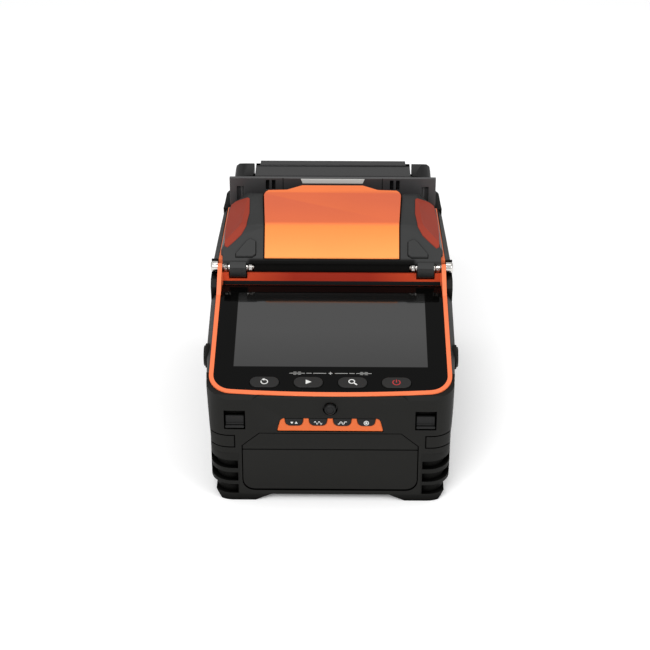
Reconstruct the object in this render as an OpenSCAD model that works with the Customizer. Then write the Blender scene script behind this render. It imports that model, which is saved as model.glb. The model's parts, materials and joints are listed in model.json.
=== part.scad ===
// Optical fibre fusion splicer: a handheld bench instrument with a sloping
// touch screen in front, a splice chamber under a hinged wind cover behind it,
// a sleeve heater across the rear edge and a slide-out battery under the screen.
//
// Frame: origin on the table under the middle of the instrument, +X to the
// operator's right, +Y away from the operator, +Z up. Millimetres.

/* [Body] */
// Widest part of the housing, without the strap lugs
body_w = 141; // [139:1:143]
// Front face to rear face
body_d = 184.5; // [184:0.5:186]
// Height of the orange rim at the front edge
front_h = 69.2; // [68.5:0.1:70]
// Slope of the screen deck, degrees
tilt = 10; // [9.5:0.1:10.5]
// Thickness of the moulded walls
wall = 2.6; // [2.2:0.1:3]
// Height of the corner feet below the belly
foot_h = 4; // [3:0.5:5]

/* [Screen] */
// Active width of the display
lcd_w = 108; // [104:1:110]
// Active height of the display
lcd_h = 64.8; // [60:0.1:66]
// Width of a keypad button
key_w = 16.2; // [14:0.1:17]
// Height of a keypad button
key_h = 8.6; // [7:0.1:9]
// Travel of every push button
key_travel = 0.8; // [0.4:0.1:1]

/* [Battery] */
// Width of the battery pack
battery_w = 97.4; // [95:0.1:97.6]
// Height of the battery pack
battery_h = 37.2; // [36:0.1:37.2]
// Depth of the battery pack
battery_d = 76; // [60:1:78]

/* [Wind cover] */
// Height of the cover hinge axis above the table
hinge_z = 95.3; // [95:0.1:95.6]
// Place of the cover hinge axis, front to back
hinge_y = 8.3; // [8:0.1:8.6]
// Radius of the hinge bolts
hinge_r = 2; // [1.8:0.1:2.2]
// Running clearance of every pivot, on the radius
pivot_gap = 0.05; // [0.03:0.01:0.08]
// Half width of the orange cover plate
plate_half = 39.2; // [38:0.1:40]

/* [Splice line] */
// Height of the fibre axis above the table
fibre_z = 105.2; // [105:0.1:105.5]
// Place of the fibre axis, front to back
fibre_y = 34; // [33.5:0.5:34.5]

/* [Heater] */
// Half width of the heater lid
lid_half = 47.1; // [46:0.1:47.5]
// Gap between the heater lid and each end clamp
lid_gap = 1.1; // [0.8:0.1:1.5]

/* [Hidden] */
$fn = 48;
eps = 0.01;
half_w = body_w / 2;
front_y = -body_d / 2;
rear_y = body_d / 2;
seam_z = 31.8;
pack_seam_z = 34;
chamber_front = 5.2;
rim_rise = 12;
rise_start = -7;
rise_end = 6;
rear_slope = 7.5;
rim_t = 2.4;
glass_t = 1.8;
glass_drop = 0.6;
shelf_t = 2;
glass_len = 97.5;
lcd_v0 = 25.2;
key_v = 11.6;
key_xs = [-36.4, -12.2, 12.2, 36.4];
strip_z0 = 46.2;
strip_z1 = 54.6;
strip_xs = [-19.9, -6.65, 6.65, 19.9];
port_z = 61;
latch_x = 52.7;
bridge_y0 = 65.5;
bridge_y1 = 68;
top_z = 125.2;
heater_pin_y = 89.5;
heater_pin_z = 114.7;
heater_floor = 112;
deck_z = 88.5;
fan_y = 84;
lug_y = -45.5;
lug_z = 66.6;
door_x = half_w - 2.6;
seat_drop = 4.6;

// ---------------------------------------------------------------- curves

function smooth(t) = let (u = max(0, min(1, t))) u * u * (3 - 2 * u);

// Height of the sloping deck plane.
function plane_z(y) = front_h + (y - front_y) * tan(tilt);

// Height of the orange rim: flush with the screen in front, then it climbs
// beside the chamber and runs back at a gentler slope.
function rim_z(y) = y < rise_end
    ? plane_z(y) + rim_rise * smooth((y - rise_start) / (rise_end - rise_start))
    : plane_z(rise_end) + rim_rise + (y - rise_end) * tan(rear_slope);

function arc(cx, cy, rx, ry, a0, a1, n) =
    [for (i = [0 : n]) let (a = a0 + (a1 - a0) * i / n) [cx + rx * cos(a), cy + ry * sin(a)]];

function mirrored(points) = concat(points, [for (i = [len(points) - 1 : -1 : 0]) [-points[i][0], points[i][1]]]);

// Plan of the housing: right half from the front middle to the rear middle.
// The inset places the front corner, which stands further in below the seam.
upper_inset = 14.5;
lower_inset = 16;
function housing_half(inset) = concat(
    arc(half_w - inset, front_y + 12.5, 12.5, 12.5, -90, -8, 8),
    [[half_w - 1 - (inset - upper_inset) * 0.6, -62], [half_w, -42], [half_w, 15], [half_w - 2, 42], [half_w - 4.5, 70]],
    arc(half_w - 14, rear_y - 9, 9, 9, 0, 90, 8));

// Plan of the orange rim, rounder in front and tapering to the rear.
rim_half = concat(
    [for (i = [0 : 6]) let (x = i * 8.8) [x, front_y + 0.8 + 1.9 * pow(x / 52.8, 2)]],
    arc(54.5, front_y + 17.5, 12.8, 14.6, -84, 0, 10),
    [[67.1, -8], [66.4, 8], [63.3, 64]]);

module housing_plan(grow = 0) offset(delta = grow) polygon(mirrored(housing_half(upper_inset)));
module lower_plan(grow = 0) offset(delta = grow) polygon(mirrored(housing_half(lower_inset)));
module rim_plan(grow = 0) offset(delta = grow) polygon(mirrored(rim_half));

// ---------------------------------------------------------------- helpers

module block(lo, hi) translate(lo) cube([hi[0] - lo[0], hi[1] - lo[1], hi[2] - lo[2]]);

// Draws a child outline in (y, z) and extrudes it from x0 to x1.
module side_extrude(x0, x1) translate([x0, 0, 0]) rotate([90, 0, 90]) linear_extrude(x1 - x0) children();

// Draws a child outline in (x, z) and extrudes it from y0 back to y1.
module front_extrude(y0, y1) translate([0, y1, 0]) rotate([90, 0, 0]) linear_extrude(y1 - y0) children();

module rod_x(x0, x1, y, z, r) translate([x0, y, z]) rotate([0, 90, 0]) cylinder(r = r, h = x1 - x0);
module rod_y(y0, y1, x, z, r) translate([x, y0, z]) rotate([-90, 0, 0]) cylinder(r = r, h = y1 - y0);
module rod_z(z0, z1, x, y, r) translate([x, y, z0]) cylinder(r = r, h = z1 - z0);

module both_sides() {
    children();
    mirror([1, 0, 0]) children();
}

// The frame of the sloping screen deck: x, v up the slope, w out of the glass.
module on_deck() translate([0, front_y, front_h]) rotate([tilt, 0, 0]) children();

module rounded_rect(w, h, r) {
    square([w - 2 * r, h], center = true);
    square([w, h - 2 * r], center = true);
    for (sx = [-1, 1], sy = [-1, 1]) translate([sx * (w / 2 - r), sy * (h / 2 - r)]) circle(r = r);
}

// Everything below a line that follows the rim, offset by dz.
module under_rim(dz, z0, x0, x1, y0 = front_y - 2, y1 = rear_y + 2)
    side_extrude(x0, x1) polygon(concat(
        [for (i = [0 : 30]) let (y = y0 + (y1 - y0) * i / 30) [y, min(rim_z(y) + dz, rim_z(bridge_y0 + 3) + dz)]],
        [[y1, z0], [y0, z0]]));

// Space above the seat that the rim and the chamber floor rest on.
module seat_space() side_extrude(-80, 80) polygon([[front_y - 1, plane_z(front_y - 1) - seat_drop],
    [rise_end + 4, plane_z(rise_end + 4) - seat_drop], [rise_end + 4, deck_z - 5], [100, deck_z - 5], [100, 150], [front_y - 1, 150]]);

// Front view that leans the side faces in towards the table and chamfers the
// bottom edges.
module side_draft() front_extrude(-110, 110) polygon([[-60.4, -1], [60.4, -1], [61, 0], [68, 10],
    [half_w, 72], [half_w, 140], [-half_w, 140], [-half_w, 72], [-68, 10], [-61, 0]]);

// ---------------------------------------------------------------- housing

// Solid form of the whole casing, before it is hollowed and split.
module casing_solid() intersection() {
    union() {
        translate([0, 0, foot_h]) linear_extrude(40) lower_plan();
        translate([0, 0, seam_z]) linear_extrude(100) housing_plan();
    }
    under_rim(-0.8, -5, -80, 80);
    side_draft();
}

// The zones at the four corners that the rubber bumpers fill.
module bumper_zone() both_sides() {
    block([50.6, front_y - 3, -1], [half_w + 5, front_y + 34, seam_z]);
    block([44, rear_y - 30, -1], [half_w + 5, rear_y + 3, 83]);
}

module casing_core() difference() {
    casing_solid();
    difference() {
        bumper_zone();
        linear_extrude(120) lower_plan(-4);
    }
}

module casing_cavity() intersection() {
    translate([0, 0, foot_h + wall]) linear_extrude(130) lower_plan(-4 - wall);
    block([-80, front_y + wall, 0], [80, 100, 130]);
}

// Front view of the battery: rounded below, chamfered above.
module battery_outline(grow = 0) offset(delta = grow) let (hw = battery_w / 2) polygon(concat(
    arc(hw - 6.4, 13.8, 6.4, 6.4, -90, 0, 6), [[hw, 36.5], [hw - 9.5, 7.4 + battery_h]],
    [[9.5 - hw, 7.4 + battery_h], [-hw, 36.5]], arc(6.4 - hw, 13.8, 6.4, 6.4, 180, 270, 6)));

module battery_bay(gap = 0.45) front_extrude(front_y - 5, front_y + battery_d + 1) {
    battery_outline(gap);
    translate([0, -0.4]) battery_outline(gap);
}

// Screw columns at the four inner corners, with their pilot holes.
column_xy = [[54, -72], [54, 74]];
module columns(r, z0, z1) both_sides() for (p = column_xy) rod_z(z0, z1, p[0], p[1], r);

module lower_housing() color([0.13, 0.13, 0.13]) difference() {
    union() {
        difference() {
            casing_core();
            casing_cavity();
            block([-80, -100, seam_z], [80, 100, 130]);
        }
        difference() {
            columns(3.6, foot_h, seam_z);
            columns(1.7, -1, seam_z + 1);
        }
        rod_z(foot_h, foot_h + 9, 0, 30, 8);
    }
    battery_bay();
    columns(1.7, -1, 20);
    columns(3.1, -1, foot_h + 2.2);
    rod_z(-1, 60, 0, 30, 5);
    for (i = [0 : 6]) block([-24 + i * 7, 50, -1], [-20.5 + i * 7, 62, foot_h + wall + 1]);
}

module side_vents() for (i = [0 : 5]) translate([-half_w, 28 + i * 6.5, 62])
    rotate([12, 0, 0]) cube([12, 2.6, 15], center = true);

module upper_housing() color([0.15, 0.15, 0.15]) difference() {
    union() {
        difference() {
            casing_core();
            casing_cavity();
            block([-80, -100, -10], [80, 100, seam_z]);
        }
        difference() {
            union() {
                columns(3.6, seam_z, 64);
                both_sides() for (p = column_xy) block([p[0] + 2, p[1] - 0.8, seam_z], [p[0] + (p[1] < 0 ? 10.4 : 7), p[1] + 0.8, 64]);
            }
            columns(1.2, seam_z - 1, 54);
        }
    }
    battery_bay();
    // seat for the rim, and the sloping shoulders beside it
    intersection() {
        translate([0, 0, 40]) linear_extrude(120) rim_plan(0.05);
        seat_space();
    }
    both_sides() on_deck() translate([67.3, 0, -0.8]) rotate([0, 63, 0]) block([-6, 20, 0], [20, 91, 20]);
    both_sides() translate([66.8, rise_end, rim_z(rise_end) - 0.8]) rotate([rear_slope, 0, 2.6]) rotate([0, 60, 0])
        block([-6, 6, 0], [20, 59, 20]);
    // bevel above the front corners, and a smaller one in the middle
    both_sides() translate([0, front_y, front_h]) rotate([52, 0, 0]) translate([0, 0, -1.7])
        linear_extrude(22) polygon([[22, 12], [80, 12], [80, -12], [57.3, -12]]);
    translate([0, front_y, front_h]) rotate([52, 0, 0]) block([-60, -12, -0.9], [60, 12, 20]);
    // the front corners lean in above the seam
    both_sides() intersection() {
        translate([half_w - 2.1, -81.5, 69]) rotate([0, 2.6, -7]) block([0, -30, -60], [20, 19, 12]);
        block([50, -130, seam_z], [100, 0, 90]);
    }
    // control strip recess
    front_extrude(front_y - 1, front_y + 3.2) strip_outline(0.15);
    for (x = strip_xs) block([x - 3.6, front_y, strip_z1 - 4.2], [x + 3.6, front_y + 8, strip_z1 - 0.8]);
    // port recess and bore
    rod_y(front_y - 1, front_y + 1.6, 0, port_z, 4.1);
    rod_y(front_y - 1, front_y + 9, 0, port_z, 3.9);
    // latch pockets
    both_sides() block([latch_x - 5.9, front_y - 1, 47.3], [latch_x + 5.9, front_y + 4.2, 59.4]);
    both_sides() block([latch_x - 3, front_y + 4, 50], [latch_x + 3, front_y + 8, 54.5]);
    // clearance round the heads of the cover hinge bolts
    both_sides() rod_x(66.3, 75, hinge_y, hinge_z, 3.9);
    both_sides() block([66.5, -6, 91.2], [75, hinge_y, 110]);
    // outline of the upper grip pads
    both_sides() difference() {
        block([52.6, front_y - 3, 35.2], [half_w + 5, front_y + 17, 43.6]);
        block([53.3, front_y - 4, 35.9], [half_w + 5, front_y + 16, 42.9]);
        linear_extrude(120) housing_plan(-0.8);
    }
    both_sides() rod_x(60, 75, hinge_y, hinge_z, hinge_r);
    both_sides() rod_x(half_w - 2, half_w + 1, lug_y, lug_z, 7);
    both_sides() rod_x(half_w - 5.1, half_w + 1, lug_y, lug_z, 1.6);
    side_vents();
    // socket bay and door recess on the right side
    block([half_w - 9.8, -36.2, 47], [half_w + 5, -3.8, 63.4]);
    block([half_w - 3.9, -37.9, 43.3], [half_w + 5, -2.1, 65.5]);
    rod_y(-39.6, -0.4, door_x, 45.2, 0.7 + pivot_gap);
    // fan grille in the rear face
    for (i = [-3 : 3]) let (h = sqrt(17 * 17 - pow(i * 4.8, 2)))
        block([i * 4.8 - 1.3, rear_y - 8, 66 - h], [i * 4.8 + 1.3, rear_y + 3, 66 + h]);
    // rear bridge and heater seat
    block([-61.9, bridge_y0, 84], [61.9, bridge_y1 + 0.1, 140]);
    block([-60.3, bridge_y1 - 1, 100.3], [60.3, rear_y + 3, 140]);
}

// The rubber corner bumpers.
module bumper_band() difference() {
    linear_extrude(120) lower_plan();
    translate([0, 0, -1]) linear_extrude(130) lower_plan(-4);
}

module front_bumper() difference() {
    intersection() {
        side_draft();
        union() {
            intersection() {
                bumper_band();
                block([50.6, front_y - 3, 0], [half_w + 5, front_y + 34, seam_z]);
            }
            // toe under the front edge
            intersection() {
                linear_extrude(foot_h) lower_plan();
                front_extrude(front_y - 3, front_y + 14) polygon([[33, foot_h], [42, 0], [60, 0], [60, foot_h]]);
            }
        }
    }
    // three grooves that wrap the corner
    for (g = [[4.6, 6], [12.9, 5.6], [21.3, 5.2]]) difference() {
        block([51.4, front_y - 3, g[0]], [half_w + 5, front_y + 14, g[0] + g[1]]);
        linear_extrude(120) lower_plan(-3);
    }
}

module rear_bumper() difference() {
    intersection() {
        side_draft();
        union() {
            intersection() {
                bumper_band();
                block([44, rear_y - 30, 0], [half_w + 5, rear_y + 3, 83]);
            }
            block([46, rear_y - 1, 34.5], [56, rear_y + 1.8, 49.5]);
        }
    }
    for (z = [5.2, 13.8, 22.6, 55, 64.8]) difference() {
        block([46, rear_y - 24, z], [half_w + 5, rear_y + 3, z + 5.1]);
        linear_extrude(120) housing_plan(-2.8);
    }
    block([45, rear_y, 41.4], [60, rear_y + 3, 42.6]);
}

module front_left_bumper() color([0.1, 0.1, 0.1]) mirror([1, 0, 0]) front_bumper();
module front_right_bumper() color([0.1, 0.1, 0.1]) front_bumper();
module rear_left_bumper() color([0.1, 0.1, 0.1]) mirror([1, 0, 0]) rear_bumper();
module rear_right_bumper() color([0.1, 0.1, 0.1]) rear_bumper();

module strap_lugs() color([0.12, 0.12, 0.12]) both_sides() difference() {
    union() {
        rod_x(half_w - 2, half_w + 0.7, lug_y, lug_z, 7);
        rod_x(half_w + 0.7, half_w + 1.6, lug_y, lug_z, 5.8);
        rod_x(half_w - 5, half_w, lug_y, lug_z, 1.6);
    }
    block([half_w + 0.3, lug_y - 3.4, lug_z - 1.1], [half_w + 3, lug_y + 3.4, lug_z + 1.1]);
}

module housing_screws() color([0.5, 0.5, 0.5]) both_sides() for (p = column_xy) difference() {
    union() {
        rod_z(foot_h + 0.4, foot_h + 2.2, p[0], p[1], 2.9);
        rod_z(foot_h + 2.2, 50, p[0], p[1], 1.2);
    }
    translate([p[0], p[1], foot_h]) cylinder(r = 1.3, h = 1.4, $fn = 6);
}

// Brass insert for a 1/4 inch camera thread, drilled to the tapping size.
module tripod_bush() color([0.7, 0.6, 0.3]) difference() {
    rod_z(foot_h, foot_h + 10, 0, 30, 5);
    rod_z(foot_h - 1, foot_h + 9, 0, 30, 2.6);
}

// ---------------------------------------------------------------- rim and screen

// Vertical prism of the rim outline, pulled in by d.
module rim_prism(d) translate([0, 0, 40]) linear_extrude(90) intersection() {
    rim_plan(-d);
    translate([-80, -100]) square([160, 100 + bridge_y0 - 0.4]);
}

module trim_frame() color([0.95, 0.45, 0.25]) difference() {
    union() {
        // rim ring and hinge ears
        difference() {
            rim_prism(0);
            rim_prism(rim_t);
            block([-60.6, bridge_y0 - 8, 97], [60.6, 100, 140]);
        }
        // shelf that the glass rests on
        difference() {
            intersection() {
                rim_prism(rim_t - eps);
                on_deck()
                    block([-80, -5, -glass_drop - glass_t - shelf_t], [80, glass_len + 1, -glass_drop - glass_t]);
            }
            on_deck() block([-62, key_v - key_h / 2 - 0.5, -20], [62, 94.6, 20]);
        }
        // cross band between the glass and the chamber
        block([-64.3, 4.9, 80], [64.3, 5.9, 93]);
    }
    // top and bottom follow the rim line
    difference() {
        translate([-90, -110, -20]) cube([180, 220, 200]);
        intersection() {
            under_rim(0, -30, -80, 80);
            seat_space();
        }
    }
    // room for the hinge barrels, and the bolt holes in the ears
    both_sides() block([49.4, 1.6, 88.9], [60.2, 9, 110]);
    both_sides() block([63, hinge_y - hinge_r, hinge_z], [70, hinge_y + hinge_r, 110]);
    both_sides() rod_x(60, 75, hinge_y, hinge_z, hinge_r);
}

module key_outline(grow = 0)
    rounded_rect(key_w + 2 * grow, key_h + 2 * grow, key_h / 2 + grow - eps);

module cover_glass() color([0.08, 0.08, 0.09]) difference() {
    intersection() {
        rim_prism(rim_t + 0.1);
        on_deck() block([-80, -5, -glass_drop - glass_t], [80, glass_len, -glass_drop]);
    }
    on_deck() for (x = key_xs) translate([x, key_v, -20]) linear_extrude(40) key_outline(0.25);
    block([-90, 4.8, 0], [90, 100, 140]);
}

module lcd_panel() color([0.3, 0.3, 0.3]) on_deck()
    block([-lcd_w / 2 - 3, lcd_v0 - 4, -7], [lcd_w / 2 + 3, lcd_v0 + lcd_h + 3, -glass_drop - glass_t]);

module key_button(x) on_deck() translate([x, key_v, 0]) {
    translate([0, 0, -3.4]) linear_extrude(3.5) key_outline(0);
    translate([0, 0, -4.2]) linear_extrude(0.8) circle(r = 2);
}

module reset_button() color([0.2, 0.2, 0.2]) key_button(key_xs[0]);
module play_button() color([0.2, 0.2, 0.2]) key_button(key_xs[1]);
module zoom_button() color([0.2, 0.2, 0.2]) key_button(key_xs[2]);
module power_button() color([0.2, 0.2, 0.2]) key_button(key_xs[3]);

// ---------------------------------------------------------------- front face

module strip_outline(grow = 0) translate([0, strip_z0]) {
    w0 = 29.2 + grow;
    w1 = 27.6 + grow;
    h = strip_z1 - strip_z0;
    polygon(concat([[-w0, -grow], [w0, -grow], [w0, 1]],
        arc(w1 - 2.6, h - 3 + grow, 3, 3, 20, 90, 5),
        arc(-w1 + 2.6, h - 3 + grow, 3, 3, 90, 160, 5), [[-w0, 1]]));
}

// Outline of a meter button: flat on top, round below.
module meter_outline(grow = 0) translate([0, strip_z1 - 0.4]) offset(delta = grow)
    polygon(concat([[-4.8, -0.9], [-4.9, 0.3], [4.9, 0.3], [4.8, -0.9]],
        arc(2.1, -1.5, 2.6, 2.7, 0, -90, 6), arc(-2.1, -1.5, 2.6, 2.7, -90, -180, 6)));

module control_strip() color([0.92, 0.42, 0.22]) difference() {
    front_extrude(front_y + 0.3, front_y + 3.2) strip_outline(0);
    for (x = strip_xs) front_extrude(front_y - 1, front_y + 5) translate([x, 0]) meter_outline(0.2);
}

module meter_button(x) {
    front_extrude(front_y - 0.2, front_y + 2.2) translate([x, 0]) meter_outline(0);
    block([x - 3, front_y + 2.2, strip_z1 - 3.6], [x + 3, front_y + 6.4, strip_z1 - 1.4]);
}

module unit_button() color([0.1, 0.1, 0.1]) meter_button(strip_xs[0]);
module wavelength_button() color([0.1, 0.1, 0.1]) meter_button(strip_xs[1]);
module source_button() color([0.1, 0.1, 0.1]) meter_button(strip_xs[2]);
module laser_button() color([0.1, 0.1, 0.1]) meter_button(strip_xs[3]);

module port_adapter() color([0.6, 0.6, 0.6]) difference() {
    rod_y(front_y + 1.8, front_y + 7, 0, port_z, 3.9);
    rod_y(front_y + 1, front_y + 16, 0, port_z, 1.25);
}

module port_cap() color([0.1, 0.1, 0.1]) {
    translate([0, front_y - 1.8, port_z]) rotate([-90, 0, 0]) cylinder(r1 = 2.3, r2 = 3.3, h = 1.2);
    rod_y(front_y - 0.6, front_y + 1.6, 0, port_z, 3.3);
    rod_y(front_y + 1.6, front_y + 6, 0, port_z, 1.18);
}

module battery_case() color([0.14, 0.14, 0.14]) difference() {
    front_extrude(front_y + 0.2, front_y + battery_d) battery_outline();
    front_extrude(front_y + 2.4, front_y + battery_d - 2.2) battery_outline(-2);
    front_extrude(front_y + battery_d - 2.2, front_y + battery_d + 1) battery_outline(-1);
    // seam across the face
    block([-60, front_y, pack_seam_z - 0.3], [60, front_y + 0.8, pack_seam_z + 0.3]);
}

module battery_rear_cap() color([0.2, 0.2, 0.2]) {
    front_extrude(front_y + battery_d - 2.2, front_y + battery_d) battery_outline(-1.05);
    for (i = [0 : 4]) block([-12 + i * 5, front_y + battery_d, 14], [-9 + i * 5, front_y + battery_d + 0.5, 26]);
}

module battery_cells() color([0.3, 0.4, 0.5]) for (i = [0, 1], k = [0 : 2])
    block([-42.6 + i * 42.8, front_y + 3, 9.8 + k * 9.7], [-0.2 + i * 42.8, front_y + battery_d - 3, 19.2 + k * 9.7]);

// Sliding latch: a recessed plate with a lip for the fingertip.
module latch() {
    front_extrude(front_y + 1.9, front_y + 3.9) translate([latch_x, 51.4]) square([10.6, 7.2], center = true);
    front_extrude(front_y + 0.2, front_y + 2) translate([latch_x, 48.7]) square([10.6, 1.8], center = true);
}
module left_latch() color([0.12, 0.12, 0.12]) mirror([1, 0, 0]) latch();
module right_latch() color([0.12, 0.12, 0.12]) latch();

// ---------------------------------------------------------------- wind cover

// Side view of the cover: points (y, z), running from the front lip over the
// top to the rear lip.
cover_side = [[4.4, 99.8], [4.6, 101.2], [18.6, 116.6], [21, 117.6], [56, 119.6], [58.4, 118.6],
    [59, 114], [59.4, 106.4]];
cover_inner = [[8.4, 90], [8.4, 101.4], [20, 114], [22.4, 114.8], [54.6, 116.6], [55.4, 113], [55.8, 90]];

// Bottom edge of the cover: it runs just above the rim.
function cover_foot(y) = rim_z(rise_end) + (y - rise_end) * tan(rear_slope) + 0.9;

module cover_front_view(d) polygon([[-65.2 + d, 80], [-65.2 + d, 103 - d], [-62.6 + d, 109.4 - d],
    [-50.5 + d / 2, 119.4 - d], [-42, 120.8 - d], [42, 120.8 - d], [50.5 - d / 2, 119.4 - d],
    [62.6 - d, 109.4 - d], [65.2 - d, 103 - d], [65.2 - d, 80]]);

// Plan of the cover: inside the rim beside the hinge, over the rim behind it.
module cover_plan(d) polygon(mirrored([[63.7 - d, 0], [63.7 - d, 11.6], [65 - d, 13], [62.4 - d, 56 - d],
    [60.6 - d, 58.2 - d], [38, 58.2 - d], [25, 59.4 - d]]));

// Outer form of the cover without its plan, pulled in by d.
module cover_form(d) intersection() {
    side_extrude(-70, 70) offset(delta = -d) polygon(concat([for (i = [0 : 6]) cover_side[i]],
        [[59.4, cover_foot(59.4)]], [[4.4, cover_foot(4.4)]]));
    front_extrude(0, 70) cover_front_view(d);
}

module cover_body() intersection() {
    cover_form(0);
    translate([0, 0, 80]) linear_extrude(60) cover_plan(0);
}

module cover_hollow() intersection() {
    side_extrude(-70, 70) polygon(cover_inner);
    front_extrude(0, 70) cover_front_view(2.8);
    translate([0, 0, 80]) linear_extrude(60) cover_plan(2.8);
}

// Three sided pads on the front slope of the cover.
corner_pad = [[47.8, 13.1], [44.6, 12.1], [44.5, 7], [46.5, 6.1], [55.8, 6.1], [55.8, 7.2], [50.1, 11.9]];

module cover_shell() color([0.27, 0.29, 0.3]) difference() {
    union() {
        difference() {
            cover_body();
            cover_hollow();
        }
        // front wall that drops behind the cross band
        block([-45.4, 6.5, 92.7], [45.4, 8.4, 101.6]);
        both_sides() intersection() {
            translate([0, 0, 80]) linear_extrude(60) polygon(corner_pad);
            cover_form(-0.5);
            block([0, 0, 101.4], [70, 20, 120]);
            difference() {
                block([0, 0, 90], [70, 20, 120]);
                cover_form(1);
            }
        }
        // arms down to the hinge bolts
        both_sides() difference() {
            union() {
                rod_x(50, 59.5, hinge_y, hinge_z, 6.2);
                side_extrude(50, 59.5) polygon([[2.1, 95.3], [2.3, 97.6], [4.4, 100.4], [12.6, 108], [14.5, 104], [14.5, 95.3]]);
            }
            rod_x(49, 61, hinge_y, hinge_z, hinge_r + pivot_gap);
        }
    }
    // pocket for the orange plate
    plate_solid(0.05, 0.45);
    // groove round each corner pad
    both_sides() difference() {
        translate([0, 0, 101.4]) linear_extrude(20) intersection() {
            difference() {
                offset(delta = 0.4) polygon(corner_pad);
                polygon(corner_pad);
            }
            square([70, 20]);
        }
        cover_form(0.5);
    }
    // pockets for the side inserts
    insert_solid(0.05);
    // fibre slots in the two side walls
    both_sides() block([58, fibre_y - 1.6, 90], [70, fibre_y + 1.6, fibre_z + 1.2]);
}

// Orange plate: a folded sheet with a tab at the back.
module plate_outline(grow) offset(delta = grow) polygon(mirrored([[plate_half, 0], [plate_half, 18],
    [plate_half + 1.8, 51.6], [plate_half + 1.6, 53.4], [plate_half + 0.8, 55], [plate_half - 0.8, 56.2],
    [27.3, 56.6], [18.2, 60]]));

plate_top = [[5.5, 103], [6, 103.4], [17.4, 116.6], [18.8, 117.8], [21, 118.5], [54, 121.1], [60, 123.4]];
plate_under = [[60, 118.2], [56, 118.4], [21, 116.4], [18.8, 115.6], [7.2, 102.7], [5.5, 102.2]];
module plate_solid(grow = 0, around = 0) intersection() {
    side_extrude(-45, 45) polygon(concat([for (p = plate_top) [p[0], p[1] + grow]],
        [for (p = plate_under) [p[0], p[1] - grow]]));
    translate([0, 0, 80]) linear_extrude(60) plate_outline(around);
}

module cover_plate() color([0.9, 0.46, 0.3]) plate_solid();

// Leaf shaped inserts on the wings of the cover.
leaf = [[49.5, 49.3], [55.7, 55.5], [58.4, 57.6], [61.2, 57.4], [62.7, 42], [63.2, 26], [62.6, 10.5],
    [60.9, 9.9], [56.9, 12.4], [53, 15], [50.1, 18.7], [48.9, 32.4]];
module insert_solid(grow = 0) both_sides() intersection() {
    translate([0, 0, 80]) linear_extrude(60) offset(delta = grow) polygon(leaf);
    difference() {
        cover_form(-0.3);
        cover_form(1 + grow);
    }
    side_extrude(40, 70) polygon([[0, cover_foot(0) + 1.2], [80, cover_foot(80) + 1.2], [80, 130], [0, 130]]);
}
module cover_inserts() color([0.64, 0.3, 0.25]) insert_solid();

module cover_seal() color([0.08, 0.08, 0.08]) difference() {
    intersection() {
        side_extrude(-70, 70) polygon([[11, cover_foot(11)], [54.6, cover_foot(54.6)],
            [54.6, cover_foot(54.6) - 0.5], [11, cover_foot(11) - 0.5]]);
        translate([0, 0, 80]) linear_extrude(60) cover_plan(0.8);
    }
    translate([0, 0, 80]) linear_extrude(60) cover_plan(2.2);
    both_sides() block([50, fibre_y - 1.6, 90], [70, fibre_y + 1.6, 120]);
}

module fibre_pressers() color([0.5, 0.5, 0.52]) both_sides() {
    block([4.4, fibre_y - 2, fibre_z + 1], [8.2, fibre_y + 2, 115]);
    block([4.8, fibre_y - 1.2, fibre_z + 0.4], [7.8, fibre_y + 1.2, fibre_z + 1]);
}

// Bolts, nuts and washers of the cover hinge, the same on both sides.
module hinge_bolts() color([0.75, 0.74, 0.7]) both_sides() {
    rod_x(45.6, 66.6, hinge_y, hinge_z, hinge_r);
    difference() {
        rod_x(66.6, 71, hinge_y, hinge_z, 3.2);
        translate([69.4, hinge_y, hinge_z]) rotate([0, 90, 0]) cylinder(r = 1.9, h = 3, $fn = 6);
    }
    difference() {
        translate([46.4, hinge_y, hinge_z]) rotate([0, 90, 0]) cylinder(r = 3.1, h = 2.4, $fn = 6);
        rod_x(46, 50, hinge_y, hinge_z, hinge_r);
    }
    difference() {
        rod_x(59.6, 60.4, hinge_y, hinge_z, 3.3);
        rod_x(59, 61, hinge_y, hinge_z, hinge_r);
    }
}

// Torsion springs beside the arms, drawn as stacked coils with one leg.
module hinge_springs() color([0.7, 0.69, 0.66]) both_sides() {
    for (i = [0 : 2]) difference() {
        rod_x(60.5 + i * 1, 61.3 + i * 1, hinge_y, hinge_z, 3.2);
        rod_x(60, 64, hinge_y, hinge_z, hinge_r + 0.3);
    }
    rod_x(61.3, 62.5, hinge_y, hinge_z + 2.7, 0.4);
    rod_z(hinge_z - 8, hinge_z - 2.4, 62.9, hinge_y, 0.4);
}

// ---------------------------------------------------------------- splice chamber

module splice_deck() color([0.2, 0.2, 0.21]) difference() {
    union() {
        intersection() {
            rim_prism(rim_t + 0.1);
            block([-70, 6, deck_z - 3], [70, 80, deck_z]);
        }
        both_sides() block([10, 20, deck_z], [44.8, 46.6, deck_z + 2]);
        // fibre rests beside the side walls of the cover
        both_sides() block([55, fibre_y - 5, deck_z], [57.6, fibre_y + 5, fibre_z - 1]);
    }
    both_sides() block([54, fibre_y - 0.6, fibre_z - 3], [59, fibre_y + 0.6, fibre_z + 1]);
    both_sides() block([46.5, 3, 80], [64.2, 15.2, 120]);
}

module vgroove_blocks() color([0.85, 0.85, 0.82]) both_sides() difference() {
    block([3.6, fibre_y - 7, deck_z], [9, fibre_y + 7, fibre_z]);
    translate([0, fibre_y, fibre_z - 0.12]) rotate([45, 0, 0]) block([3, -2, -2], [10, 0.1, 0.1]);
    translate([0, fibre_y, fibre_z + 0.08]) rotate([45, 0, 0]) block([3, 0, 0], [10, 4, 4]);
}

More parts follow.
